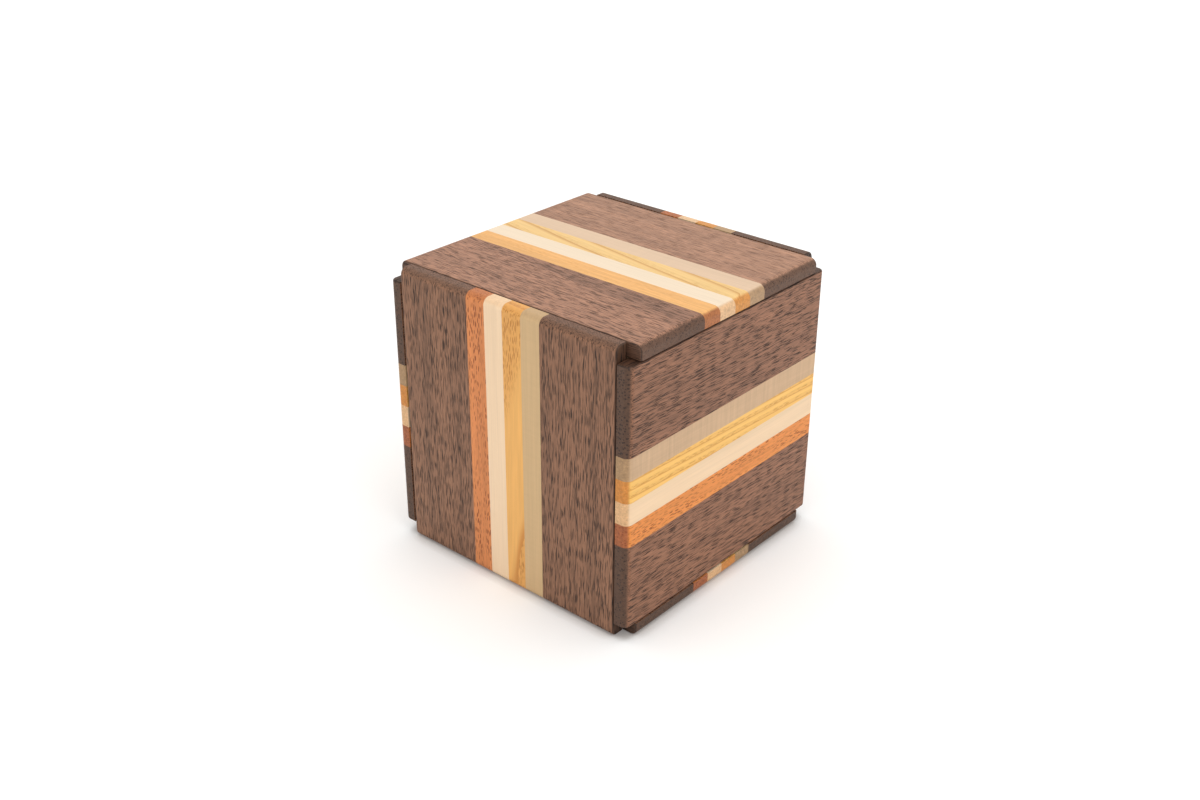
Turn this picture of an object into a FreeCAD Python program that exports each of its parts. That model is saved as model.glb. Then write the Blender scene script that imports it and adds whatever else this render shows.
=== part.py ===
import FreeCAD, Part
import math
import os

# Wooden puzzle box: a pale inner box, and six striped panels that each slide along their own grain.
# Every panel is as long as the cube. Its rounded ends cover the long edges of two neighbours, and its
# own long edges are covered by the ends of the other two, so each corner of the cube has a small notch.
# The frame has +Z up and its origin at the centre of the base. Lengths are in millimetres.

# Cube and panels
CUBE = 85.0  # edge of the closed cube
PANEL_T = 4.0  # panel thickness
PANEL_GAP = 0.4  # running gap from a panel's long edge to the panel end that covers it
END_ROUND = 2.0  # radius over the outer edge of each panel end
EDGE_EASE = 0.5  # radius that eases the outer long edges
STRIPE_W = 6.5  # width of each of the four coloured stripes
SHIFT = 8.0  # travel of a short-sliding panel

# Inner box
BOX_GAP = 0.3  # running gap between the panels and the inner box
WALL_T = 7.5  # thickness of its boards
RABBET_D = 3.0  # depth of the corner rabbets that take the side walls

# Dovetail battens, which hold five panels to the inner box
BATTEN_L = 46.0
BATTEN_NECK_W = 11.0  # width where it is glued to the panel
BATTEN_FOOT_W = 14.0  # width at its foot
GROOVE_D = 3.8  # depth of the dovetail groove in the board
RUN_FIT = 0.25  # running clearance of sliding wood in its groove

# Stop pegs, which end the travel of a batten
PEG_R = 2.0
PEG_PROUD = 2.0  # how far a peg stands out of the groove's floor
GLUE_LINE = 0.05  # radial gap for glue round a peg
STOP_GAP = 0.3  # room left at each end of the travel

# Lid rails, which hold the top panel, and the lock keys that stop them
RAIL_W = 5.0
RAIL_END_GAP = 0.2  # room between a rail and the side wall that stops it
TONGUE_D = 1.8  # how far a rail's tongue stands into the wall
TONGUE_H = 2.5
LIP_H = 3.0  # wall left above the tongue's groove
KEY_W = 5.0
KEY_H = 6.0
KEY_REACH = 4.2  # how far a key stands into the compartment
KEY_CLEAR = 0.5  # room between a key and a rail that passes it
KEY_WEB = 2.0  # wall left between a key's slot and the batten's groove

# Working values of the model
CUT_PAST = 1.0  # how far a cutter runs past what it cuts
SAME = 0.01  # lengths closer than this are taken as equal

# Sizes that follow
MIDDLE = CUBE / 2
PANEL_W = CUBE - 2 * (PANEL_T + PANEL_GAP)
LID_UNDERSIDE = CUBE - PANEL_T
BOX_HALF = MIDDLE - PANEL_T - BOX_GAP
BOX_INNER = BOX_HALF - WALL_T
BOX_BASE = PANEL_T + BOX_GAP
FLOOR_TOP = BOX_BASE + WALL_T
RIM = LID_UNDERSIDE - BOX_GAP
BATTEN_H = BOX_GAP + GROOVE_D - RUN_FIT
PEG_TOP = PEG_PROUD - BOX_GAP - GROOVE_D  # measured outwards from the panel's inner face

KEY_X1 = -(BATTEN_FOOT_W / 2 + KEY_WEB + 2 * RUN_FIT)
KEY_X0 = KEY_X1 - KEY_W
KEY_Z1 = RIM - SHIFT
KEY_Z0 = KEY_Z1 - KEY_H
RAIL_X0 = RAIL_END_GAP - BOX_INNER
RAIL_X1 = KEY_X0 - KEY_CLEAR
RAIL_H = SHIFT - KEY_CLEAR
LID_TRAVEL = 2 * BOX_INNER - (RAIL_X1 - RAIL_X0) - 2 * RAIL_END_GAP
TONGUE_Z1 = RIM - LIP_H - RUN_FIT
TONGUE_Z0 = TONGUE_Z1 - TONGUE_H

X = FreeCAD.Vector(1, 0, 0)
Y = FreeCAD.Vector(0, 1, 0)
Z = FreeCAD.Vector(0, 0, 1)

# Each panel's own axes in the cube: along its grain, across its stripes, and outwards.
PANEL_AXES = {
    "top": (X, Y, Z),
    "bottom": (-X, Y, -Z),
    "front": (-Z, X, -Y),
    "back": (Z, X, Y),
    "left": (-Y, Z, -X),
    "right": (Y, Z, X),
}

# Travel along the grain of each panel that rides on a dovetail batten.
BATTEN_TRAVEL = {
    "bottom": (-SHIFT, SHIFT),
    "front": (-SHIFT, 0.0),
    "back": (0.0, SHIFT),
    "left": (-SHIFT, SHIFT),
    "right": (-SHIFT, SHIFT),
}


def span(x, y, z):
    """A block between the two given values on each axis, in either order."""
    low = FreeCAD.Vector(min(x), min(y), min(z))
    high = FreeCAD.Vector(max(x), max(y), max(z))
    size = high - low
    return Part.makeBox(size.x, size.y, size.z, low)


def prism(points, direction):
    """A flat outline carried straight along a direction."""
    return Part.Face(Part.makePolygon(points + points[:1])).extrude(direction)


def in_place(shape, panel):
    """A shape drawn on a panel's own axes, with its origin on the panel's inner face, put into the cube."""
    along, across, out = PANEL_AXES[panel]
    face = Z * MIDDLE + out * (MIDDLE - PANEL_T)
    matrix = FreeCAD.Matrix(
        along.x, across.x, out.x, face.x,
        along.y, across.y, out.y, face.y,
        along.z, across.z, out.z, face.z,
        0, 0, 0, 1,
    )
    placed = shape.copy()
    placed.Placement = FreeCAD.Placement(matrix)
    return placed


# Striped panels


def stripe_edges():
    """Each strip's name, and where it starts and ends across the panel."""
    names = ["orange_stripe", "cream_stripe", "yellow_stripe", "grey_stripe"]
    last = len(names) * STRIPE_W / 2
    first = -last
    strips = {"walnut_1": (-PANEL_W / 2, first)}
    for number, name in enumerate(names):
        strips[name] = (first + number * STRIPE_W, first + (number + 1) * STRIPE_W)
    strips["walnut_2"] = (last, PANEL_W / 2)
    return strips


def strip_outline(across):
    """A strip's side view: flat inside, with both ends rounded over on the outside."""
    radius = min(END_ROUND, PANEL_T - EDGE_EASE)
    bulge = radius * (1 - math.cos(math.radians(45)))

    def end(side):
        """The foot, the start, middle and finish of the rounding at one end (-1 or 1)."""
        places = [(0, 0), (0, PANEL_T - radius), (bulge, PANEL_T - bulge), (radius, PANEL_T)]
        return [FreeCAD.Vector(side * (MIDDLE - back), across, out) for back, out in places]

    left = end(-1)
    right = end(1)
    edges = [
        Part.LineSegment(left[0], right[0]),
        Part.LineSegment(right[0], right[1]),
        Part.Arc(right[1], right[2], right[3]),
        Part.LineSegment(right[3], left[3]),
        Part.Arc(left[3], left[2], left[1]),
        Part.LineSegment(left[1], left[0]),
    ]
    return Part.Wire([edge.toShape() for edge in edges])


def strip(low, high):
    """One strip of wood, eased along the side that is an outer long edge of the panel."""
    solid = Part.Face(strip_outline(low)).extrude(Y * (high - low))
    outer = PANEL_W / 2
    eased = []
    for edge in solid.Edges:
        box = edge.BoundBox
        on_outer_side = abs(abs(box.Center.y) - outer) < SAME and box.YLength < SAME
        if on_outer_side and box.ZMax > SAME:
            eased.append(edge)
    return solid.makeFillet(EDGE_EASE, eased) if eased else solid


# Battens, grooves and pegs


def dovetail(length, depth, clearance):
    """A dovetail bar along the grain, from a panel's inner face down to the given depth."""
    spread = (BATTEN_FOOT_W - BATTEN_NECK_W) / 2 / BATTEN_H
    neck = BATTEN_NECK_W / 2 + clearance
    foot = BATTEN_NECK_W / 2 + spread * depth + clearance
    start = -length / 2
    outline = [
        FreeCAD.Vector(start, -neck, 0),
        FreeCAD.Vector(start, -foot, -depth),
        FreeCAD.Vector(start, foot, -depth),
        FreeCAD.Vector(start, neck, 0),
    ]
    return prism(outline, X * length)


def batten(travel):
    """A dovetail batten with the slot that its stop peg runs in."""
    lowest, highest = travel
    ends = (-highest - PEG_R - STOP_GAP, PEG_R + STOP_GAP - lowest)
    half_slot = PEG_R + RUN_FIT
    slot = span(ends, (-half_slot, half_slot), (-BATTEN_H - CUT_PAST, PEG_TOP + RUN_FIT))
    return dovetail(BATTEN_L, BATTEN_H, 0).cut(slot)


def groove():
    """The cutter for a batten's groove, open at both ends of the inner box."""
    return dovetail(2 * (BOX_HALF + CUT_PAST), BOX_GAP + GROOVE_D, RUN_FIT)


def round_bar(radius, low, high):
    """A round bar on a panel's outward axis, between two heights."""
    return Part.makeCylinder(radius, high - low, Z * low)


def peg():
    """A stop peg, flush with the inside of its board."""
    return round_bar(PEG_R, -BOX_GAP - WALL_T, PEG_TOP)


def peg_hole():
    """The cutter for a peg's hole, right through its board."""
    return round_bar(PEG_R + GLUE_LINE, -BOX_GAP - WALL_T - CUT_PAST, PEG_TOP)


# Lid rails and lock keys


def lid_rail(side):
    """A rail glued under the top panel, with a tongue that runs in the wall on that side (-1 or 1)."""
    outside = BOX_INNER - RUN_FIT
    x = (RAIL_X0, RAIL_X1)
    web = span(x, (side * outside, side * (outside - RAIL_W)), (LID_UNDERSIDE - RAIL_H, LID_UNDERSIDE))
    tongue = span(x, (side * (BOX_INNER + TONGUE_D), side * outside), (TONGUE_Z0, TONGUE_Z1))
    return web.fuse(tongue).removeSplitter()


def lock_key(side):
    """A block on the front or back panel that stands in a lid rail's way once that panel is raised."""
    y = (side * (MIDDLE - PANEL_T), side * (BOX_INNER - KEY_REACH))
    return span((KEY_X0, KEY_X1), y, (KEY_Z0, KEY_Z1))


# Inner box


def long_wall(side):
    """The front or back board, rabbeted for the side walls, with the tongue's groove and the key's slot."""
    y = (side * BOX_HALF, side * BOX_INNER)
    height = (FLOOR_TOP, RIM)
    wall = span((-BOX_HALF, BOX_HALF), y, height)
    rabbet_y = (side * (BOX_INNER + RABBET_D), side * BOX_INNER)
    for end in (-1, 1):
        wall = wall.cut(span((end * BOX_HALF, end * BOX_INNER), rabbet_y, height))
    tongue_y = (side * (BOX_INNER + TONGUE_D + RUN_FIT), side * BOX_INNER)
    tongue_z = (TONGUE_Z0 - RUN_FIT, TONGUE_Z1 + RUN_FIT)
    wall = wall.cut(span((-BOX_INNER, BOX_INNER), tongue_y, tongue_z))
    return wall.cut(span((KEY_X0 - RUN_FIT, KEY_X1 + RUN_FIT), y, (KEY_Z0 - RUN_FIT, RIM)))


def side_wall(side):
    """The left or right board, whose ends sit in the rabbets."""
    reach = BOX_INNER + RABBET_D
    return span((side * BOX_HALF, side * BOX_INNER), (-reach, reach), (FLOOR_TOP, RIM))


def floor_board():
    """The board that the four walls stand on."""
    return span((-BOX_HALF, BOX_HALF), (-BOX_HALF, BOX_HALF), (BOX_BASE, FLOOR_TOP))


def inner_box():
    """The five boards, cut for the battens and the pegs."""
    boards = {
        "box_front_wall": long_wall(-1),
        "box_back_wall": long_wall(1),
        "box_left_wall": side_wall(-1),
        "box_right_wall": side_wall(1),
        "box_floor": floor_board(),
    }
    for panel in BATTEN_TRAVEL:
        for cutter in (in_place(groove(), panel), in_place(peg_hole(), panel)):
            for name, board in boards.items():
                boards[name] = board.cut(cutter)
    return boards


def all_pieces():
    """Every separate piece of the puzzle box, by name."""
    pieces = {}
    for panel in PANEL_AXES:
        for name, (low, high) in stripe_edges().items():
            pieces[f"{panel}_{name}"] = in_place(strip(low, high), panel)
    for panel, travel in BATTEN_TRAVEL.items():
        pieces[f"{panel}_slide_batten"] = in_place(batten(travel), panel)
    for name, side in (("front", -1), ("back", 1)):
        pieces[f"lid_rail_{name}"] = lid_rail(side)
        pieces[f"{name}_lock_key"] = lock_key(side)
    pieces.update(inner_box())
    pieces["stop_pegs"] = Part.makeCompound([in_place(peg(), panel) for panel in BATTEN_TRAVEL])
    return pieces


os.makedirs("parts", exist_ok=True)
for piece_name, piece in all_pieces().items():
    piece.exportStep(f"parts/{piece_name}.step")
print(f"lid travel {LID_TRAVEL:.2f} mm, panel width {PANEL_W:.2f} mm, inner box {2 * BOX_HALF:.2f} mm")
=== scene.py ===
"""Looks of the wooden puzzle box: its striped panels, its inner box and runners, and its white stage."""

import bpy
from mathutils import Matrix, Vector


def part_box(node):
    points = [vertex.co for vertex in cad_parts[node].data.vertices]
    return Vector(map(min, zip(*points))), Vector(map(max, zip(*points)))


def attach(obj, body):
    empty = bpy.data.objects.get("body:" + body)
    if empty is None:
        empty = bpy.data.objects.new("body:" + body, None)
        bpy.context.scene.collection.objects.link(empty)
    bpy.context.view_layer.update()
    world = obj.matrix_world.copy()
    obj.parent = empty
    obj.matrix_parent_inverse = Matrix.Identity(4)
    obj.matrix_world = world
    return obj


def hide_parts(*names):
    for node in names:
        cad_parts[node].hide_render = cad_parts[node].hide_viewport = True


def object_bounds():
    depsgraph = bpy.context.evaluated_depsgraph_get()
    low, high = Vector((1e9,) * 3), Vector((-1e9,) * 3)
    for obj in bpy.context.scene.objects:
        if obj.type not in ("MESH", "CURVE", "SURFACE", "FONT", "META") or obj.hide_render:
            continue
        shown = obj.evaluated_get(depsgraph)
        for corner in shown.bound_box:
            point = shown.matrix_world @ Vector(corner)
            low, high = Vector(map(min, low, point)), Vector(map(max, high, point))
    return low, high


bl_info = {
    "name": "Striped puzzle box",
    "version": (1, 0, 0),
    "blender": (4, 5, 0),
    "location": "View3D > Sidebar > Puzzle Box",
    "description": "Builds the wood finishes of a sliding puzzle box around its CAD frame",
    "category": "Object",
}

import math
from collections import namedtuple

import bpy
import numpy as np
from bpy.props import FloatProperty, FloatVectorProperty, IntProperty, PointerProperty
from bpy.types import Operator, Panel, PropertyGroup
from mathutils import Matrix

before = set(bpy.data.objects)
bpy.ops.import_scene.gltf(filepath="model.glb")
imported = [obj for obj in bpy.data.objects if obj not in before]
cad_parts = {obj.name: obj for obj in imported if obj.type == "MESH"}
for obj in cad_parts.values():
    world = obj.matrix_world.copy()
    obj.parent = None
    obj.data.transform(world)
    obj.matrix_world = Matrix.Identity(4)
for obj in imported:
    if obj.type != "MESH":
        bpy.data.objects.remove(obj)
CAD_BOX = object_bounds()

MM = 0.001

# The picture's width in pixels, the sensor's in millimetres, and how near the camera sees, in metres.
PHOTO_WIDTH = 1200
SENSOR_WIDTH = 36.0
NEAR_CLIP = 0.01

BLACK = (0.0, 0.0, 0.0, 1.0)
WHITE = (1.0, 1.0, 1.0, 1.0)

# Satin finish of every wood: how strongly its bumps show, how much it shines, and how deep the bumps are.
BUMP_STRENGTH = 0.6
SATIN_SHINE = 0.3
PORE_DEPTH = 0.05 * MM
CLOSE_GRAIN_DEPTH = 0.02 * MM
BARE_GRAIN_DEPTH = 0.03 * MM

# Share of a pore's radius that is dark all over.
PORE_CORE = 0.65

# How far a strip's surface leans towards its end or its side where end grain or sawn wood begins and is full.
END_LEAN = (0.30, 0.75)
SIDE_LEAN = (0.15, 0.65)

# Share of its colour that a sawn side loses, partly its own darker wood and partly painted shade in the gaps
# between panels, and that an eased edge gains, partly wear and partly a painted highlight.
SIDE_SHADE = 0.68
EDGE_WEAR_AND_HIGHLIGHT = 0.06

# Dark heart streak of the walnut log, in millimetres: where it fades in and out along the grain, where it
# begins and is full across the rings, how far it drifts per millimetre of grain and with the broad streaks,
# and the share of light that it takes.
HEART_FADE_IN = (0.0, 14.0)
HEART_FADE_OUT = (95.0, 75.0)
HEART_SIDE = (8.6, 10.2)
HEART_DRIFT = 0.04
HEART_SWAY = 2.0
HEART_SHADE = 0.20

# Growth rings of the yellow wood, in millimetres.
RING_WIDTH = 2.3
RING_SWAY = 1.4

# Bare boards: how far their figure is drawn out along the grain, and how closely its veins follow each other.
BARE_STRETCH = 0.020
VEIN_TURNS = 26.0

# Depths under the inner box's upright outer faces where the painted shade of the gaps between panels ends
# and is full.
GAP_SHADE_DEPTHS = (0.6 * MM, 0.2 * MM)

# How open to the sky the floor is where the painted contact shadow is full and where it ends.
CONTACT_OPENNESS = (0.30, 0.95)
CONTACT_SAMPLES = 8

# Colour of the sky's light, and size and place of the key lamp.
SKY_TINT = (1.0, 0.99, 0.97, 1.0)
KEY_SIZE = 0.5
KEY_PLACE = (0.55, -0.10, 0.50)

# The strips along a panel's two long edges, which are eased.
LOW_STRIP = "walnut_1"
HIGH_STRIP = "walnut_2"

# Each panel's own axes in the cube: along its grain, across its stripes, and outwards.
PANEL_AXES = {
    "top": ((1, 0, 0), (0, 1, 0), (0, 0, 1)),
    "bottom": ((-1, 0, 0), (0, 1, 0), (0, 0, -1)),
    "front": ((0, 0, -1), (1, 0, 0), (0, -1, 0)),
    "back": ((0, 0, 1), (1, 0, 0), (0, 1, 0)),
    "left": ((0, -1, 0), (0, 0, 1), (-1, 0, 0)),
    "right": ((0, 1, 0), (0, 0, 1), (1, 0, 0)),
}

# How a strip was cut from its log: its tone against its species, how strongly the figure shows, the turns in
# degrees of the strip about its grain, about its face and about its width, and its place in the log in
# millimetres along the grain, across the rings and along them. On the top panel the tone also holds painted
# light and a painted pale sheen on the upward face.
Cut = namedtuple("Cut", "tone figure roll slope dive seat")

WALNUT_1_CUTS = {
    # Top: the tone also paints light and a pale sheen on the upward face.
    "top": Cut((1.42, 1.44, 1.55), 0.7, 35, 1.5, 2.0, (20, 4, 9)),
    "bottom": Cut((0.98, 0.97, 0.96), 1.0, 50, -1.0, 1.0, (320, 31, 2)),
    "front": Cut((1.00, 1.00, 1.00), 1.0, 20, 0.5, 1.0, (640, 12, 40)),
    "back": Cut((0.96, 0.97, 0.98), 1.0, 65, 1.0, -1.5, (950, 22, 17)),
    "left": Cut((1.03, 1.02, 1.01), 0.9, 40, -0.5, 1.0, (1250, 45, 5)),
    "right": Cut((1.05, 0.97, 0.94), 1.0, 30, 1.5, -1.0, (1570, 8, 26)),
}
WALNUT_2_CUTS = {
    # Top: the tone also paints light and a pale sheen on the upward face.
    "top": Cut((1.50, 1.60, 1.74), 0.25, 35, 1.0, 1.0, (160, 8, 20)),
    "bottom": Cut((0.98, 0.97, 0.96), 1.0, 50, -1.0, 1.0, (460, 35, 13)),
    "front": Cut((0.99, 0.98, 0.98), 1.0, 20, 0.5, 1.0, (780, 16, 51)),
    "back": Cut((0.96, 0.97, 0.98), 1.0, 65, 1.0, -1.5, (1090, 26, 28)),
    "left": Cut((1.03, 1.02, 1.01), 0.9, 40, -0.5, 1.0, (1390, 49, 16)),
    "right": Cut((1.05, 0.98, 0.97), 1.0, 30, 1.5, -1.0, (1710, 12, 37)),
}
ORANGE_CUTS = {
    # Top: the tone also paints light and a pale sheen on the upward face.
    "top": Cut((1.17, 1.76, 1.90), 0.15, 60, 0.5, 1.0, (15, 3, 8)),
    "bottom": Cut((1.00, 1.00, 1.00), 0.9, 30, 1.0, 0.5, (240, 14, 3)),
    "front": Cut((0.98, 0.98, 1.00), 1.0, 25, 0.5, 0.5, (480, 6, 21)),
    "back": Cut((0.97, 0.95, 0.95), 0.8, 50, 1.5, 1.0, (720, 28, 2)),
    "left": Cut((0.95, 0.90, 0.90), 1.0, 35, -1.0, 0.5, (960, 11, 30)),
    "right": Cut((1.13, 1.11, 0.76), 0.9, 40, 1.0, -0.5, (1200, 19, 12)),
}
CREAM_CUTS = {
    # Top: the tone also paints light and a pale sheen on the upward face.
    "top": Cut((0.92, 1.02, 1.14), 1.0, 20, 0.5, 0.5, (10, 2, 5)),
    "bottom": Cut((1.00, 1.00, 1.00), 1.0, 40, 0.5, 0.5, (210, 9, 3)),
    "front": Cut((1.00, 1.00, 1.00), 1.0, 15, 0.5, 0.5, (430, 4, 12)),
    "back": Cut((0.98, 0.98, 0.97), 1.0, 55, 1.0, 1.0, (650, 15, 8)),
    "left": Cut((1.01, 1.01, 1.00), 1.0, 30, 1.0, 0.5, (870, 6, 22)),
    "right": Cut((0.97, 0.96, 0.94), 1.0, 25, 0.5, 0.5, (1090, 18, 2)),
}
YELLOW_CUTS = {
    # Top: the tone also paints light and a pale sheen on the upward face.
    "top": Cut((0.95, 1.20, 1.68), 0.2, 62, 8.0, 0.6, (30, 1.97, 6)),
    "bottom": Cut((1.00, 1.00, 1.00), 0.9, 40, 2.0, 0.5, (260, 7, 2)),
    "front": Cut((0.98, 0.99, 1.00), 0.9, 86, 2.5, 1.3, (520, 4.665, 11)),
    "back": Cut((0.98, 0.97, 0.95), 0.8, 55, -2.0, 1.0, (780, 4.0, 5)),
    "left": Cut((1.00, 0.98, 0.96), 1.0, 20, 1.0, 0.5, (1040, 9.1, 3)),
    "right": Cut((1.05, 1.18, 1.12), 0.6, 12, 2.2, 0.5, (1300, 0.9, 8)),
}
GREY_CUTS = {
    # Top: the tone also paints light and a pale sheen on the upward face.
    "top": Cut((1.10, 1.19, 1.50), 0.2, 20, 0.5, 0.5, (10, 2, 4)),
    "bottom": Cut((1.00, 1.00, 1.00), 0.5, 30, 0.5, 0.5, (230, 8, 2)),
    "front": Cut((0.98, 1.00, 0.96), 0.25, 15, 0.5, 0.5, (450, 5, 14)),
    "back": Cut((0.97, 0.98, 1.00), 0.6, 45, 1.0, 0.5, (670, 12, 6)),
    "left": Cut((1.00, 1.00, 1.02), 0.7, 25, 0.5, 0.5, (890, 3, 20)),
    "right": Cut((0.93, 0.93, 1.03), 1.0, 20, 0.5, 0.5, (1110, 15, 3)),
}

# How far a panel's end grain keeps the colour of its face.
PALE_ENDS = {"top": 0.12, "front": 0.6, "back": 0.3}

# Grain direction of each inner board and runner.
BOARD_GRAIN = {
    "box_front_wall": "X",
    "box_back_wall": "X",
    "box_left_wall": "Y",
    "box_right_wall": "Y",
    "box_floor": "X",
}
BATTEN_GRAIN = {
    "bottom_slide_batten": "X",
    "front_slide_batten": "Z",
    "back_slide_batten": "Z",
    "left_slide_batten": "Y",
    "right_slide_batten": "Y",
}
RAIL_GRAIN = {"lid_rail_front": "X", "lid_rail_back": "X"}
KEY_GRAIN = {"front_lock_key": "Y", "back_lock_key": "Y"}
PEG_GRAIN = {"stop_pegs": "Z"}


# Sizes and colours that a user would change


class PanelSizes(PropertyGroup):
    """Roundings of the panels"""

    end_round: FloatProperty(
        name="End rounding", description="Radius over the outer edge of each panel end",
        default=2.0 * MM, min=0.1 * MM, unit="LENGTH",
    )
    edge_ease: FloatProperty(
        name="Edge easing", description="Radius that eases the outer long edges of a panel",
        default=0.5 * MM, min=0.05 * MM, unit="LENGTH",
    )
    round_steps: IntProperty(
        name="Rounding steps", description="Faces along the rounding of a panel end", default=12, min=2,
        subtype="UNSIGNED",
    )
    ease_steps: IntProperty(
        name="Easing steps", description="Faces across an eased long edge", default=5, min=1,
        subtype="UNSIGNED",
    )


def colour_field(title, words, colour):
    """A colour property, in linear light."""
    return FloatVectorProperty(
        name=title, description=words, default=colour, subtype="COLOR", size=3, min=0.0, max=1.0,
    )


class WoodColours(PropertyGroup):
    """Colours of the woods"""

    walnut_face: colour_field("Walnut", "Walnut along the grain", (0.252, 0.123, 0.069))
    walnut_end: colour_field("Walnut end", "Walnut end grain", (0.098, 0.050, 0.030))
    walnut_pore: colour_field("Walnut pore", "Open pores of the walnut", (0.028, 0.014, 0.009))
    orange_face: colour_field("Orange wood", "Orange wood along the grain", (0.665, 0.234, 0.073))
    orange_end: colour_field("Orange wood end", "Orange wood end grain", (0.370, 0.112, 0.038))
    orange_pore: colour_field("Orange wood pore", "Pores of the orange wood", (0.230, 0.055, 0.018))
    cream_face: colour_field("Cream wood", "Cream wood along the grain", (0.885, 0.655, 0.437))
    cream_end: colour_field("Cream wood end", "Cream wood end grain", (0.710, 0.430, 0.220))
    yellow_face: colour_field("Yellow wood", "Yellow wood along the grain", (0.862, 0.452, 0.128))
    yellow_end: colour_field("Yellow wood end", "Yellow wood end grain", (0.610, 0.240, 0.050))
    yellow_ring: colour_field("Yellow wood ring", "Growth rings of the yellow wood", (0.560, 0.200, 0.030))
    yellow_pore: colour_field("Yellow wood pore", "Pores in its rings", (0.390, 0.130, 0.018))
    grey_face: colour_field("Tan wood", "Greyish tan wood along the grain", (0.640, 0.427, 0.232))
    grey_end: colour_field("Tan wood end", "Greyish tan end grain", (0.390, 0.240, 0.124))
    board_face: colour_field("Inner box wood", "Pale wood of the inner box", (0.600, 0.440, 0.260))
    board_vein: colour_field("Inner box vein", "Late wood of the inner box", (0.470, 0.310, 0.160))
    # Painted shade on the inner box's upright outer faces, which show only through the gaps between panels.
    board_gap_shade: colour_field("Rubbed wood", "Inner box where the panels rub on it", (0.110, 0.070, 0.038))
    runner_face: colour_field("Runner wood", "Waxed wood of the runners", (0.480, 0.310, 0.155))
    runner_vein: colour_field("Runner vein", "Late wood of the runners", (0.340, 0.195, 0.085))


class StageSettings(PropertyGroup):
    """Floor, light and camera"""

    floor_span: FloatProperty(
        name="Floor", description="Edge of the square floor", default=6.0, min=0.5, unit="LENGTH",
    )
    floor_colour: colour_field("Floor colour", "Pale floor under the box", (0.92, 0.92, 0.92))
    # Painted contact shadow: the floor's colour right beside the box.
    contact_shadow_colour: colour_field("Contact colour", "Floor right beside the box", (0.49, 0.44, 0.41))
    contact_reach: FloatProperty(
        name="Contact reach", description="How far from the box the floor darkens", default=5.0 * MM,
        min=0.1 * MM, unit="LENGTH",
    )
    floor_glow: FloatProperty(
        name="Floor glow", description="White added to the floor where it is seen itself", default=0.12,
        min=0.0, max=1.0, subtype="FACTOR",
    )
    sky_low: FloatProperty(
        name="Low light", description="Light from the sides", default=0.63, min=0.0, soft_max=2.0,
        subtype="FACTOR",
    )
    sky_high: FloatProperty(
        name="High light", description="Light added from above", default=0.96, min=0.0, soft_max=2.0,
        subtype="FACTOR",
    )
    key_power: FloatProperty(
        name="Key lamp", description="Soft lamp at the right", default=0.66, min=0.0, unit="POWER",
    )
    view_turn: FloatProperty(
        name="Camera azimuth", description="From the front towards the right", default=math.radians(40.6134),
        subtype="ANGLE",
    )
    view_rise: FloatProperty(
        name="Camera elevation", description="Above the floor", default=math.radians(27.1835),
        subtype="ANGLE",
    )
    view_roll: FloatProperty(
        name="Camera roll", description="About the line of sight", default=math.radians(0.3929),
        subtype="ANGLE",
    )
    view_distance: FloatProperty(
        name="Camera distance", description="From the middle of the box", default=0.40710, min=0.1,
        unit="LENGTH",
    )
    view_right: FloatProperty(
        name="Camera right", description="Sideways from the line to the middle", default=-0.00245,
        unit="LENGTH",
    )
    view_up: FloatProperty(
        name="Camera up", description="Upwards from the line to the middle", default=-0.00084, unit="LENGTH",
    )
    view_focus: FloatProperty(
        name="Focal length", description="In pixels of a picture 1200 wide", default=1415.588, min=100.0,
        subtype="PIXEL",
    )


# Shader maths


class Wire:
    """An output socket of a node. Arithmetic on it adds Math nodes."""

    def __init__(self, finish, socket):
        self.finish = finish
        self.socket = socket

    def _math(self, operation, first, second):
        return self.finish.node("ShaderNodeMath", {"operation": operation}, {0: first, 1: second})

    def __add__(self, other):
        return self._math("ADD", self, other)

    def __radd__(self, other):
        return self._math("ADD", other, self)

    def __sub__(self, other):
        return self._math("SUBTRACT", self, other)

    def __rsub__(self, other):
        return self._math("SUBTRACT", other, self)

    def __mul__(self, other):
        return self._math("MULTIPLY", self, other)

    def __rmul__(self, other):
        return self._math("MULTIPLY", other, self)

    def __truediv__(self, other):
        return self._math("DIVIDE", self, other)

    def __rtruediv__(self, other):
        return self._math("DIVIDE", other, self)

    def __lt__(self, other):
        return self._math("LESS_THAN", self, other)

    # The reflected form of <.
    def __gt__(self, other):
        return self._math("GREATER_THAN", self, other)

    def __abs__(self):
        return self._math("ABSOLUTE", self, 0.0)


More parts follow.
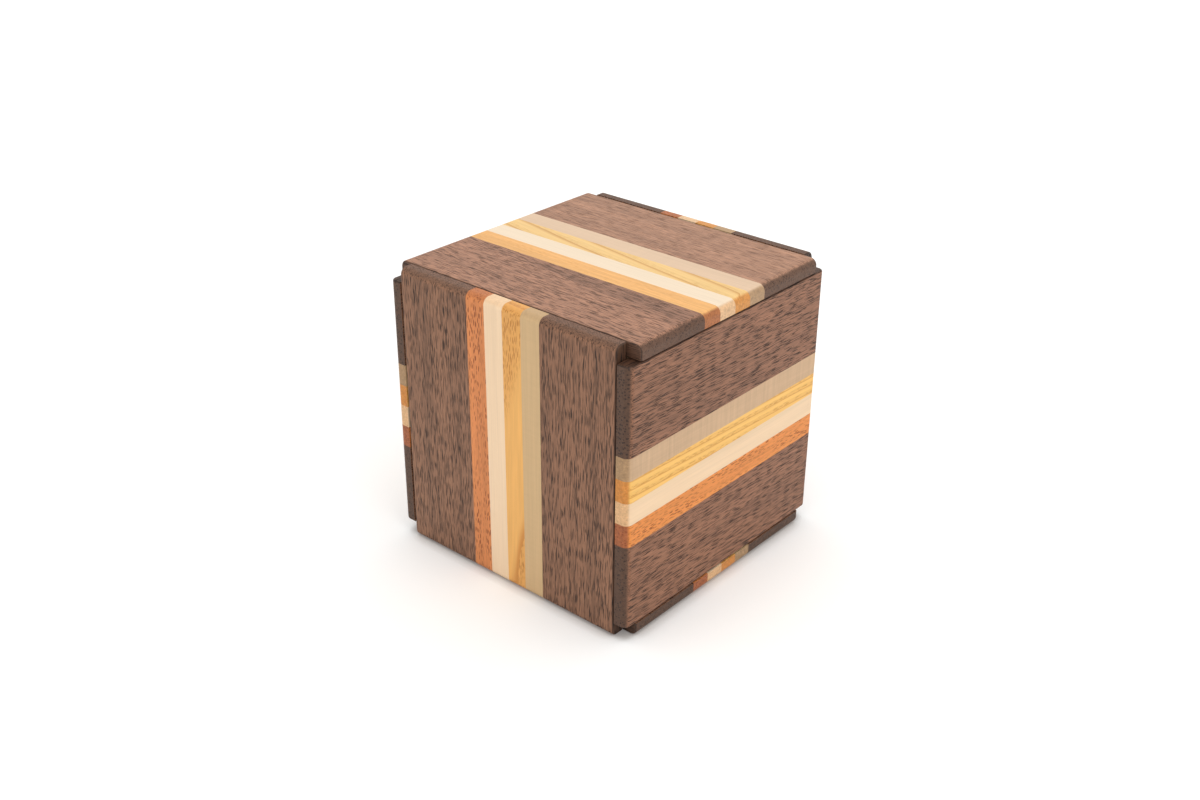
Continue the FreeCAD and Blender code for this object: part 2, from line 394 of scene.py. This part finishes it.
class Finish:
    """A node tree that is filled one node at a time."""

    def __init__(self, tree):
        self.tree = tree
        tree.nodes.clear()

    def node(self, kind, settings, sockets, output=0):
        """Adds a node, sets its settings, then its sockets by name or number, and gives one of its outputs,
        or nothing for the last node of a tree."""
        made = self.tree.nodes.new(kind)
        for name, value in settings.items():
            setattr(made, name, value)
        for name, value in sockets.items():
            if isinstance(value, Wire):
                self.tree.links.new(value.socket, made.inputs[name])
            else:
                made.inputs[name].default_value = value
        return Wire(self, made.outputs[output]) if made.outputs else None

    def attribute(self, name, output="Vector"):
        """A value that the mesh stores."""
        return self.node("ShaderNodeAttribute", {"attribute_name": name}, {}, output)

    def part(self, vector, axis):
        """One axis of a vector."""
        return self.node("ShaderNodeSeparateXYZ", {}, {0: vector}, axis)

    def stretch(self, vector, factors):
        """A vector with each axis multiplied by its own factor."""
        return self.node("ShaderNodeVectorMath", {"operation": "MULTIPLY"}, {0: vector, 1: factors})

    def larger(self, first, second):
        """The larger of two values."""
        return self.node("ShaderNodeMath", {"operation": "MAXIMUM"}, {0: first, 1: second})

    def noise(self, place, along, across, detail=2.0, roughness=0.5):
        """Smooth noise from 0 to 1, with about so many spots per unit along the first axis and across it."""
        spots = self.stretch(place, (along, across, across))
        sockets = {"Vector": spots, "Scale": 1.0, "Detail": detail, "Roughness": roughness}
        return self.node("ShaderNodeTexNoise", {}, sockets, "Fac")

    def step(self, value, low, high):
        """0 at low and beyond it, 1 at high and beyond it, and a smooth step between them."""
        sockets = {"Value": value, "From Min": low, "From Max": high}
        return self.node("ShaderNodeMapRange", {"interpolation_type": "SMOOTHSTEP"}, sockets)

    def mix(self, amount, first, second, how="MIX"):
        """A mix of two colours, by the node's factor, its colour inputs 6 and 7 and its colour output 2."""
        settings = {"data_type": "RGBA", "blend_type": how}
        return self.node("ShaderNodeMix", settings, {0: amount, 6: first, 7: second}, 2)

    def tint(self, first, second):
        """Two colours multiplied."""
        return self.mix(1.0, first, second, "MULTIPLY")

    def pores(self, place, length, width, radius, share):
        """Scattered dashes along the grain that are dots on end grain: a share of stretched cells, each dark
        within the radius of its middle."""
        cells = {"Vector": self.stretch(place, (1 / length, 1 / width, 1 / width)), "Scale": 1.0}
        distance = self.node("ShaderNodeTexVoronoi", {}, cells, "Distance")
        colour = self.node("ShaderNodeTexVoronoi", {}, cells, "Color")
        chosen = self.part(colour, "X") < share
        return self.step(distance, radius, PORE_CORE * radius) * chosen


# Wood recipes, with lengths in millimetres. The other numbers are weights and thresholds of the noises.


def rgba(colour):
    """A colour with full alpha."""
    return (*colour, 1.0)


def new_material(name):
    """A material, and its node tree ready to fill."""
    material = bpy.data.materials.new(name)
    material.use_nodes = True
    return material, Finish(material.node_tree)


def wood_shader(finish, colour, roughness, height, depth):
    """Satin wood: its colour and roughness, and a bump of the given depth in metres."""
    bump = {"Strength": BUMP_STRENGTH, "Distance": depth, "Height": height}
    sockets = {
        "Base Color": colour,
        "Roughness": roughness,
        "Normal": finish.node("ShaderNodeBump", {}, bump),
        "Specular IOR Level": SATIN_SHINE,
    }
    shader = finish.node("ShaderNodeBsdfPrincipled", {}, sockets)
    finish.node("ShaderNodeOutputMaterial", {}, {"Surface": shader})


class StripWood:
    """What the strip woods share: a strip's place in its log, its facing, its tone and its end grain."""

    def __init__(self, name):
        self.material, self.finish = new_material(name)
        self.place = self.finish.attribute("grain")
        facing = self.finish.attribute("facing")
        self.end = self.finish.step(abs(self.finish.part(facing, "X")), *END_LEAN)
        self.edge = self.finish.step(abs(self.finish.part(facing, "Y")), *SIDE_LEAN)
        self.tone = self.finish.attribute("tone", "Color")
        self.figure = self.finish.attribute("tone", "Alpha")
        self.pale_end = self.finish.attribute("pale_end", "Fac")

    def streaked(self, colour, *streaks, base):
        """A colour times base plus the sum of weight * noise over its pairs of weight and noise."""
        shade = base
        for weight, noise in streaks:
            shade = shade + weight * noise
        return self.finish.tint(rgba(colour), shade)

    def close(self, face, end, speck, roughness, height, depth=PORE_DEPTH):
        """Applies the strip's tone to its face colour, takes that over to mottled and speckled end grain,
        darkens the sawn sides, partly for their darker wood and partly as painted shade in the gaps between
        panels, and lightens the eased edges a little, partly as wear and partly as a painted highlight."""
        finish = self.finish
        # On the top panel this tone also paints light and a pale sheen on the upward face.
        face = finish.tint(face, self.tone)
        specks = finish.pores(self.place, length=9.0, width=0.75, radius=0.42, share=0.75)
        mottle = finish.noise(self.place, along=0.1, across=1.4, detail=3.0, roughness=0.7)
        ends = self.streaked(end, (1.25, mottle), base=0.35)
        ends = finish.mix(0.85 * specks, ends, rgba(speck))
        ends = finish.mix(self.pale_end, ends, face)
        colour = finish.mix(self.end, face, ends)
        # Painted highlight, partly wear, along the middle of each eased edge; painted shade, partly darker
        # wood, on the sawn sides.
        wear_and_highlight = 4 * self.edge * (1 - self.edge) * (1 - self.end)
        colour = finish.tint(colour, 1 - SIDE_SHADE * self.edge + EDGE_WEAR_AND_HIGHLIGHT * wear_and_highlight)
        wood_shader(finish, colour, roughness, height, depth)
        return self.material


def heart_streak(finish, place, broad):
    """1 in the dark heart of the walnut log, which fades in and out along the grain and drifts across it."""
    along, across = finish.part(place, "X"), finish.part(place, "Y")
    stretch = finish.step(along, *HEART_FADE_IN) * finish.step(along, *HEART_FADE_OUT)
    return finish.step(across + HEART_DRIFT * along + HEART_SWAY * broad, *HEART_SIDE) * stretch


def walnut_wood(woods):
    """Walnut: broad and fine streaks along the grain, a dark heart streak near the foot of the log, and many
    dark open pores, some of them long hairlines."""
    wood = StripWood("walnut_satin")
    finish, place = wood.finish, wood.place
    broad = finish.noise(place, along=0.012, across=0.26, detail=3.0)
    fine = finish.noise(place, along=0.10, across=2.4, detail=3.0, roughness=0.7)
    face = wood.streaked(woods.walnut_face, (0.7, broad), (1.7, fine), base=-0.16)
    face = finish.tint(face, 1 - HEART_SHADE * heart_streak(finish, place, broad))
    large = finish.pores(place, length=5.0, width=0.30, radius=0.44, share=0.35)
    threads = finish.noise(place, along=0.25, across=3.8, detail=1.0)
    hairs = finish.step(threads, low=0.53, high=0.63)
    dashes = finish.larger(large, 0.85 * hairs)
    darkness = 0.36 + 0.62 * wood.figure
    return wood.close(
        face=finish.mix(dashes * darkness, face, rgba(woods.walnut_pore)),
        end=woods.walnut_end,
        speck=woods.walnut_pore,
        roughness=0.48 + 0.18 * dashes,
        height=0.35 * fine - dashes,
    )


def orange_wood(woods):
    """Orange wood: gentle streaks, and drifts of short dark-red pores that some strips show more of."""
    wood = StripWood("orange_satin")
    finish, place = wood.finish, wood.place
    broad = finish.noise(place, along=0.012, across=0.30)
    fine = finish.noise(place, along=0.070, across=2.2)
    face = wood.streaked(woods.orange_face, (0.45, broad), (0.50, fine), base=0.53)
    clusters = finish.noise(place, along=0.030, across=0.35, detail=1.0)
    drift = finish.step(clusters, low=0.38, high=0.62)
    pores = finish.pores(place, length=2.2, width=0.40, radius=0.46, share=0.85)
    dashes = pores * (0.30 + 0.70 * drift)
    shown = dashes * wood.figure
    return wood.close(
        face=finish.mix(0.90 * shown, face, rgba(woods.orange_pore)),
        end=woods.orange_end,
        speck=woods.orange_pore,
        roughness=0.45 + 0.15 * dashes,
        height=0.25 * fine - shown,
    )


def cream_wood(woods):
    """Cream wood: close-grained, with faint bands along the grain."""
    wood = StripWood("cream_satin")
    broad = wood.finish.noise(wood.place, along=0.008, across=0.45)
    fine = wood.finish.noise(wood.place, along=0.050, across=2.4)
    return wood.close(
        face=wood.streaked(woods.cream_face, (0.20, broad), (0.18, fine), base=0.81),
        end=woods.cream_end,
        speck=woods.cream_end,
        roughness=0.44 + 0.06 * fine,
        height=0.3 * fine,
        depth=CLOSE_GRAIN_DEPTH,
    )


def yellow_wood(woods):
    """Yellow wood: growth rings across the second axis of the log, each a darkening late band that ends
    sharply, followed by a band of brown pores."""
    wood = StripWood("yellow_satin")
    finish, place, figure = wood.finish, wood.place, wood.figure
    sway = finish.noise(place, along=0.022, across=0.10, detail=1.0)
    rings = (finish.part(place, "Y") + RING_SWAY * sway) / RING_WIDTH
    phase = finish.node("ShaderNodeMath", {"operation": "FRACT"}, {0: rings})
    late = finish.step(phase, low=0.60 + 0.20 * figure, high=0.98)
    early = finish.step(phase, low=0.50, high=0.25)
    ring = 0.75 * late * late + 0.32 * early * figure
    fine = finish.noise(place, along=0.060, across=1.4)
    face = wood.streaked(woods.yellow_face, (0.30, fine), base=0.85)
    face = finish.mix(ring, face, rgba(woods.yellow_ring))
    dashes = finish.pores(place, length=2.4, width=0.32, radius=0.48, share=0.90) * early
    return wood.close(
        face=finish.mix(0.75 * dashes * figure, face, rgba(woods.yellow_pore)),
        end=woods.yellow_end,
        speck=woods.yellow_ring,
        roughness=0.45 + 0.12 * dashes,
        height=0.25 * fine - dashes,
    )


def grey_wood(woods):
    """Greyish tan wood: faint bands along the grain, and fine ripples across it that some strips show."""
    wood = StripWood("grey_satin")
    finish, place = wood.finish, wood.place
    broad = finish.noise(place, along=0.008, across=0.35)
    fine = finish.noise(place, along=0.060, across=2.0)
    ripple = finish.noise(place, along=0.95, across=0.05, detail=3.0, roughness=0.65) - 0.5
    shown = ripple * wood.figure
    return wood.close(
        face=wood.streaked(woods.grey_face, (0.20, broad), (0.18, fine), (0.34, shown), base=0.80),
        end=woods.grey_end,
        speck=woods.grey_end,
        roughness=0.45 + 0.08 * fine,
        height=0.3 * fine,
        depth=CLOSE_GRAIN_DEPTH,
    )


def painted_gap_shade(finish, place, colour, rub, half):
    """Paints shade on the upright outer faces of the inner box, seen only through the gaps between panels:
    darkens them where max(|x|, |y|) comes within a skin of its half width."""
    reach = finish.larger(abs(finish.part(place, "X")), abs(finish.part(place, "Y")))
    return finish.mix(finish.step(half - reach, *GAP_SHADE_DEPTHS), colour, rgba(rub))


def plain_wood(name, axis, face, vein, rub=None, half=0.0):
    """A bare board: streaks along the given axis of the object and soft veins that sway along it."""
    material, finish = new_material(f"{name}_{axis.lower()}_grain")
    place = finish.node("ShaderNodeTexCoord", {}, {}, "Object")
    grain = finish.stretch(place, [(BARE_STRETCH if letter == axis else 1.0) / MM for letter in "XYZ"])
    broad = finish.noise(grain, along=0.30, across=0.30)
    fine = finish.noise(grain, along=2.4, across=2.4, detail=3.0, roughness=0.6)
    bands = finish.node("ShaderNodeMath", {"operation": "SINE"}, {0: VEIN_TURNS * broad})
    veins = finish.step(bands, low=-0.2, high=1.0)
    streaks = finish.step(fine, low=0.50, high=0.80)
    colour = finish.mix(0.55 * veins, rgba(face), rgba(vein))
    colour = finish.mix(0.45 * streaks, colour, rgba(vein))
    # rub is the colour of painted shade on the inner box's outer faces in the gaps between panels.
    if rub is not None:
        colour = painted_gap_shade(finish, place, colour, rub, half)
    wood_shader(finish, colour, 0.58 + 0.12 * fine, fine, BARE_GRAIN_DEPTH)
    return material


# Strip surfaces


def side_view(half, thick, radius, inset, steps):
    """A strip's side view with both outer ends rounded, as closed loops of (u, w) points.

    One loop is drawn for each inset, which pulls the ends and the outside in by that much: the foot of the
    loop runs from -half to half at w = 0, each end rises to thick - radius, and a quarter circle about
    (half - radius, thick - radius) takes it over to the outside at w = thick.
    Also gives the outward normals at the start and finish of each side of the loop.
    """
    angle = np.linspace(0.0, math.pi / 2, steps + 1)
    ring = np.stack([np.cos(angle), np.sin(angle)], -1)
    mirrored = ring[::-1] * (-1, 1)
    inset = inset[:, None, None]
    right = (half - radius, thick - radius) + (radius - inset) * ring
    left = (radius - half, thick - radius) + (radius - inset) * mirrored
    foot = np.array([(-1.0, 0.0), (1.0, 0.0)]) * (half - inset)
    loops = np.concatenate([foot, right, left], 1)
    down, out, up = np.array([[0.0, -1.0]]), np.array([[1.0, 0.0]]), np.array([[0.0, 1.0]])
    starts = np.concatenate([down, out, ring[:-1], up, mirrored[:-1], -out])
    finishes = np.concatenate([down, out, ring[1:], up, mirrored[1:], -out])
    return loops, starts, finishes


def strip_surface(half, thick, low, high, ease_low, ease_high, sizes):
    """A strip as its side view carried across the panel from v = low to v = high.

    On an eased side the last stretch follows a quarter circle: at the angle a the side view is pulled in by
    ease * (1 - cos a) and lies ease * (1 - sin a) short of the side, and the normals lean over by a.
    Gives the points, the four-sided faces, the two flat sides and a normal for each face corner, on the
    panel's own axes.
    """
    ease = sizes.edge_ease
    angle = np.linspace(0.0, math.pi / 2, sizes.ease_steps + 1)
    flat = np.zeros(1)
    lean_low = -angle[::-1] if ease_low else flat
    lean_high = angle if ease_high else flat
    short = ease * (1.0 - np.sin(angle))
    place_low = low + (short[::-1] if ease_low else flat)
    place_high = high - (short if ease_high else flat)
    lean = np.concatenate([lean_low, lean_high])
    across = np.concatenate([place_low, place_high])
    inset = ease * (1.0 - np.cos(lean))
    loops, starts, finishes = side_view(half, thick, sizes.end_round, inset, sizes.round_steps)

    stations, count = loops.shape[:2]
    points = np.stack([loops[..., 0], np.broadcast_to(across[:, None], loops.shape[:2]), loops[..., 1]], -1)
    number = np.arange(stations * count).reshape(stations, count)
    after = np.roll(number, -1, axis=1)
    quads = np.stack([number[:-1], number[1:], after[1:], after[:-1]], -1).reshape(-1, 4)
    sides = [number[0], number[-1][::-1]]

    # The first side of the loop is the strip's inside, which stays flat.
    leans = np.ones(count)
    leans[0] = 0.0
    tilt = lean[:, None] * leans

    def corner(normals, tilts):
        lying = np.cos(tilts)[..., None] * normals
        return np.stack([lying[..., 0], np.sin(tilts), lying[..., 1]], -1)

    turns = ((starts, tilt[:-1]), (starts, tilt[1:]), (finishes, tilt[1:]), (finishes, tilt[:-1]))
    corners = np.stack([corner(normals, tilts) for normals, tilts in turns], -2).reshape(-1, 3)
    flat_sides = np.repeat([[0.0, -1.0, 0.0], [0.0, 1.0, 0.0]], count, axis=0)
    return points.reshape(-1, 3), quads, sides, np.concatenate([corners, flat_sides])


def turn_matrix(cut):
    """A strip's turn in its log: about its grain by roll, its face by slope and its width by dive."""
    roll, slope, dive = (math.radians(value) for value in (cut.roll, cut.slope, cut.dive))
    turn = Matrix.Rotation(roll, 3, "X") @ Matrix.Rotation(slope, 3, "Z") @ Matrix.Rotation(dive, 3, "Y")
    return np.array(turn)


def set_attribute(mesh, name, kind, domain, field, values):
    """Stores one value for each point or face corner of a mesh."""
    data = mesh.attributes.new(name, kind, domain).data
    data.foreach_set(field, np.ascontiguousarray(values, np.float32).ravel())


def strip_mesh(node, panel, strip, cut, sizes):
    """The mesh of a strip at its CAD node's own place and sizes. It stores the strip's place in its log, its
    tone, its pale ends and its facing."""
    axes = np.array(PANEL_AXES[panel], float)
    corners = np.array(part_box(node)) @ axes.T
    lowest, highest = corners.min(0), corners.max(0)
    half = (highest[0] - lowest[0]) / 2
    middle = (highest + lowest) / 2
    points, quads, sides, normals = strip_surface(
        half, highest[2] - lowest[2], lowest[1], highest[1], strip == LOW_STRIP, strip == HIGH_STRIP, sizes,
    )
    origin = np.array([middle[0], 0.0, lowest[2]])

    mesh = bpy.data.meshes.new(f"{node}_wood")
    faces = quads.tolist() + [side.tolist() for side in sides]
    mesh.from_pydata(((points + origin) @ axes).tolist(), [], faces)
    mesh.polygons.foreach_set("use_smooth", np.ones(len(mesh.polygons), bool))
    mesh.normals_split_custom_set((normals @ axes).tolist())

    local = (points - (0.0, middle[1], 0.0)) / MM
    place = local @ turn_matrix(cut).T + cut.seat
    tone = np.broadcast_to((*cut.tone, cut.figure), (len(points), 4))
    pale_end = np.full(len(points), PALE_ENDS.get(panel, 0.0))
    set_attribute(mesh, "grain", "FLOAT_VECTOR", "POINT", "vector", place)
    set_attribute(mesh, "tone", "FLOAT_COLOR", "POINT", "color", tone)
    set_attribute(mesh, "pale_end", "FLOAT", "POINT", "value", pale_end)
    set_attribute(mesh, "facing", "FLOAT_VECTOR", "CORNER", "vector", normals)
    return mesh


def lay_strip(panel, strip, cut, material, sizes):
    """Builds the strip that stands for one CAD strip."""
    node = f"{panel}_{strip}"
    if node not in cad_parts:
        raise RuntimeError(f"the frame has no strip named {node}")
    mesh = strip_mesh(node, panel, strip, cut, sizes)
    mesh.materials.append(material)
    piece = bpy.data.objects.new(f"{node}_wood", mesh)
    bpy.context.scene.collection.objects.link(piece)
    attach(piece, f"{panel}_panel")
    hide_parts(node)


def lay_strips(context, recipe, tables):
    """Builds the strips of one wood on all six panels, from a table of cuts for each strip's name."""
    material = recipe(context.scene.puzzle_woods)
    for strip, cuts in tables.items():
        for panel, cut in cuts.items():
            lay_strip(panel, strip, cut, material, context.scene.puzzle_panels)


def dress_nodes(grains, name, *looks):
    """Gives carried-over CAD nodes a plain wood whose grain runs along each node's own axis."""
    materials = {axis: plain_wood(name, axis, *looks) for axis in sorted(set(grains.values()))}
    for node, axis in grains.items():
        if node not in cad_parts:
            raise RuntimeError(f"the frame has no node named {node}")
        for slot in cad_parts[node].material_slots:
            slot.material = materials[axis]


def dress_runners(context, grains, name):
    """Gives battens, rails, keys or pegs their waxed wood."""
    woods = context.scene.puzzle_woods
    dress_nodes(grains, name, woods.runner_face, woods.runner_vein)


# Operators


class PUZZLEBOX_OT_walnut_strips(Operator):
    """Build the two broad walnut strips of every panel"""

    bl_idname = "puzzlebox.walnut_strips"
    bl_label = "Walnut strips"

    def execute(self, context):
        tables = {LOW_STRIP: WALNUT_1_CUTS, HIGH_STRIP: WALNUT_2_CUTS}
        lay_strips(context, walnut_wood, tables)
        return {"FINISHED"}


class PUZZLEBOX_OT_orange_stripes(Operator):
    """Build the orange stripe of every panel"""

    bl_idname = "puzzlebox.orange_stripes"
    bl_label = "Orange stripes"

    def execute(self, context):
        lay_strips(context, orange_wood, {"orange_stripe": ORANGE_CUTS})
        return {"FINISHED"}


class PUZZLEBOX_OT_cream_stripes(Operator):
    """Build the cream stripe of every panel"""

    bl_idname = "puzzlebox.cream_stripes"
    bl_label = "Cream stripes"

    def execute(self, context):
        lay_strips(context, cream_wood, {"cream_stripe": CREAM_CUTS})
        return {"FINISHED"}


class PUZZLEBOX_OT_yellow_stripes(Operator):
    """Build the yellow stripe of every panel"""

    bl_idname = "puzzlebox.yellow_stripes"
    bl_label = "Yellow stripes"

    def execute(self, context):
        lay_strips(context, yellow_wood, {"yellow_stripe": YELLOW_CUTS})
        return {"FINISHED"}


class PUZZLEBOX_OT_grey_stripes(Operator):
    """Build the greyish tan stripe of every panel"""

    bl_idname = "puzzlebox.grey_stripes"
    bl_label = "Tan stripes"

    def execute(self, context):
        lay_strips(context, grey_wood, {"grey_stripe": GREY_CUTS})
        return {"FINISHED"}


class PUZZLEBOX_OT_inner_box(Operator):
    """Finish the five boards of the inner box"""

    bl_idname = "puzzlebox.inner_box"
    bl_label = "Inner box"

    def execute(self, context):
        woods = context.scene.puzzle_woods
        half = float(np.abs([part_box(node) for node in BOARD_GRAIN])[..., :2].max())
        dress_nodes(BOARD_GRAIN, "bare_board", woods.board_face, woods.board_vein, woods.board_gap_shade, half)
        return {"FINISHED"}


class PUZZLEBOX_OT_slide_battens(Operator):
    """Finish the dovetail battens that hold five of the panels"""

    bl_idname = "puzzlebox.slide_battens"
    bl_label = "Slide battens"

    def execute(self, context):
        dress_runners(context, BATTEN_GRAIN, "waxed_batten")
        return {"FINISHED"}


class PUZZLEBOX_OT_lid_rails(Operator):
    """Finish the two rails under the lid"""

    bl_idname = "puzzlebox.lid_rails"
    bl_label = "Lid rails"

    def execute(self, context):
        dress_runners(context, RAIL_GRAIN, "waxed_rail")
        return {"FINISHED"}


class PUZZLEBOX_OT_lock_keys(Operator):
    """Finish the two keys that lock the lid"""

    bl_idname = "puzzlebox.lock_keys"
    bl_label = "Lock keys"

    def execute(self, context):
        dress_runners(context, KEY_GRAIN, "waxed_key")
        return {"FINISHED"}


class PUZZLEBOX_OT_stop_pegs(Operator):
    """Finish the pegs that end the travel of the battens"""

    bl_idname = "puzzlebox.stop_pegs"
    bl_label = "Stop pegs"

    def execute(self, context):
        dress_runners(context, PEG_GRAIN, "waxed_peg")
        return {"FINISHED"}


# Stage


def seen_rays(finish):
    """1 on rays that see the background itself: from the camera, off gloss or through glass."""
    seen = finish.node("ShaderNodeLightPath", {}, {}, "Is Camera Ray")
    for name in ("Is Glossy Ray", "Is Transmission Ray"):
        seen = finish.larger(seen, finish.node("ShaderNodeLightPath", {}, {}, name))
    return seen


def floor_material(settings):
    """A matt floor with a painted contact shadow, its colour darkening close to the box, and a little white
    added where it is seen itself.
    """
    material, finish = new_material("pale_floor")
    near = {"Distance": settings.contact_reach}
    openness = finish.node("ShaderNodeAmbientOcclusion", {"samples": CONTACT_SAMPLES}, near, "AO")
    clear = finish.step(openness, *CONTACT_OPENNESS)
    sockets = {
        "Base Color": finish.mix(clear, rgba(settings.contact_shadow_colour), rgba(settings.floor_colour)),
        "Roughness": 1.0,
        "Specular IOR Level": 0.0,
        "Emission Color": finish.mix(seen_rays(finish), BLACK, WHITE),
        "Emission Strength": settings.floor_glow,
    }
    shader = finish.node("ShaderNodeBsdfPrincipled", {}, sockets)
    finish.node("ShaderNodeOutputMaterial", {}, {"Surface": shader})
    return material


def build_floor(settings):
    """A flat square floor at z = 0, worked out on a grid of two by two points."""
    reach = settings.floor_span / 2
    x, y = np.meshgrid((-reach, reach), (-reach, reach), indexing="ij")
    points = np.stack([x, y, np.zeros_like(x)], -1).reshape(-1, 3)
    mesh = bpy.data.meshes.new("floor")
    mesh.from_pydata(points.tolist(), [], [(0, 2, 3, 1)])
    mesh.materials.append(floor_material(settings))
    floor = bpy.data.objects.new("floor", mesh)
    bpy.context.scene.collection.objects.link(floor)


def build_sky(scene, settings):
    """Light from all round that grows with the square of height, and plain white where it is seen itself."""
    world = bpy.data.worlds.new("soft_studio")
    world.use_nodes = True
    finish = Finish(world.node_tree)

    def sky(colour, strength):
        return finish.node("ShaderNodeBackground", {}, {"Color": colour, "Strength": strength})

    height = finish.part(finish.node("ShaderNodeTexCoord", {}, {}, "Generated"), "Z")
    low = sky(SKY_TINT, settings.sky_low)
    high = sky(SKY_TINT, settings.sky_low + settings.sky_high)
    light = finish.node("ShaderNodeMixShader", {}, {0: height * height, 1: low, 2: high})
    white = sky(WHITE, 1.0)
    shader = finish.node("ShaderNodeMixShader", {}, {0: seen_rays(finish), 1: light, 2: white})
    finish.node("ShaderNodeOutputWorld", {}, {"Surface": shader})
    scene.world = world


def build_key_lamp(settings):
    """A wide soft lamp above the right side."""
    lamp = bpy.data.lights.new("key_lamp", "AREA")
    lamp.shape = "SQUARE"
    lamp.size = KEY_SIZE
    lamp.energy = settings.key_power
    key = bpy.data.objects.new("key_lamp", lamp)
    position = np.array(KEY_PLACE)
    back = position / np.linalg.norm(position)
    side = np.cross((0.0, 0.0, 1.0), back)
    side /= np.linalg.norm(side)
    key.matrix_world = standing_frame(side, np.cross(back, side), back, position)
    bpy.context.scene.collection.objects.link(key)


def standing_frame(right, up, back, position):
    """A matrix whose columns are the given right, up and back directions and the position."""
    columns = np.eye(4)
    columns[:3] = np.stack([right, up, back, position], 1)
    return Matrix(columns.tolist())


def build_camera(scene, settings):
    """A camera at the photograph's angle: turned about the box, raised, rolled and shifted in its plane."""
    turn, rise, roll = settings.view_turn, settings.view_rise, settings.view_roll
    back = np.array([math.sin(turn) * math.cos(rise), -math.cos(turn) * math.cos(rise), math.sin(rise)])
    level = np.array([math.cos(turn), math.sin(turn), 0.0])
    plumb = np.cross(back, level)
    right = math.cos(roll) * level + math.sin(roll) * plumb
    up = math.cos(roll) * plumb - math.sin(roll) * level
    middle = np.array(CAD_BOX).mean(0)
    position = middle + back * settings.view_distance + right * settings.view_right + up * settings.view_up
    data = bpy.data.cameras.new("camera")
    data.sensor_fit = "HORIZONTAL"
    data.sensor_width = SENSOR_WIDTH
    data.lens = settings.view_focus * SENSOR_WIDTH / PHOTO_WIDTH
    data.clip_start = NEAR_CLIP
    camera = bpy.data.objects.new("camera", data)
    camera.matrix_world = standing_frame(right, up, back, position)
    scene.collection.objects.link(camera)
    scene.camera = camera


class PUZZLEBOX_OT_stage(Operator):
    """Set the pale floor, the soft light and the camera"""

    bl_idname = "puzzlebox.stage"
    bl_label = "Stage"

    def execute(self, context):
        scene = context.scene
        settings = scene.puzzle_stage
        build_floor(settings)
        build_sky(scene, settings)
        build_key_lamp(settings)
        build_camera(scene, settings)
        scene.view_settings.view_transform = "Standard"
        return {"FINISHED"}


# Sidebar and registration


STEPS = (
    PUZZLEBOX_OT_walnut_strips,
    PUZZLEBOX_OT_orange_stripes,
    PUZZLEBOX_OT_cream_stripes,
    PUZZLEBOX_OT_yellow_stripes,
    PUZZLEBOX_OT_grey_stripes,
    PUZZLEBOX_OT_inner_box,
    PUZZLEBOX_OT_slide_battens,
    PUZZLEBOX_OT_lid_rails,
    PUZZLEBOX_OT_lock_keys,
    PUZZLEBOX_OT_stop_pegs,
    PUZZLEBOX_OT_stage,
)


class PUZZLEBOX_PT_sidebar(Panel):
    """The steps of the build and their settings"""

    bl_idname = "PUZZLEBOX_PT_sidebar"
    bl_label = "Puzzle Box"
    bl_space_type = "VIEW_3D"
    bl_region_type = "UI"
    bl_category = "Puzzle Box"

    def draw(self, context):
        for step in STEPS:
            self.layout.operator(step.bl_idname)
        for name in SETTINGS:
            group = getattr(context.scene, name)
            box = self.layout.box()
            for prop in group.__annotations__:
                box.prop(group, prop)


SETTINGS = {"puzzle_panels": PanelSizes, "puzzle_woods": WoodColours, "puzzle_stage": StageSettings}
CLASSES = (*SETTINGS.values(), *STEPS, PUZZLEBOX_PT_sidebar)


def register():
    """Adds the classes, and their settings to every scene."""
    for cls in CLASSES:
        bpy.utils.register_class(cls)
    for name, group in SETTINGS.items():
        setattr(bpy.types.Scene, name, PointerProperty(type=group))


def unregister():
    """Takes them out again."""
    for name in SETTINGS:
        delattr(bpy.types.Scene, name)
    for cls in reversed(CLASSES):
        bpy.utils.unregister_class(cls)


def main():
    register()
    for step in STEPS:
        group, name = step.bl_idname.split(".")
        getattr(getattr(bpy.ops, group), name)()


if __name__ == "__main__":
    main()
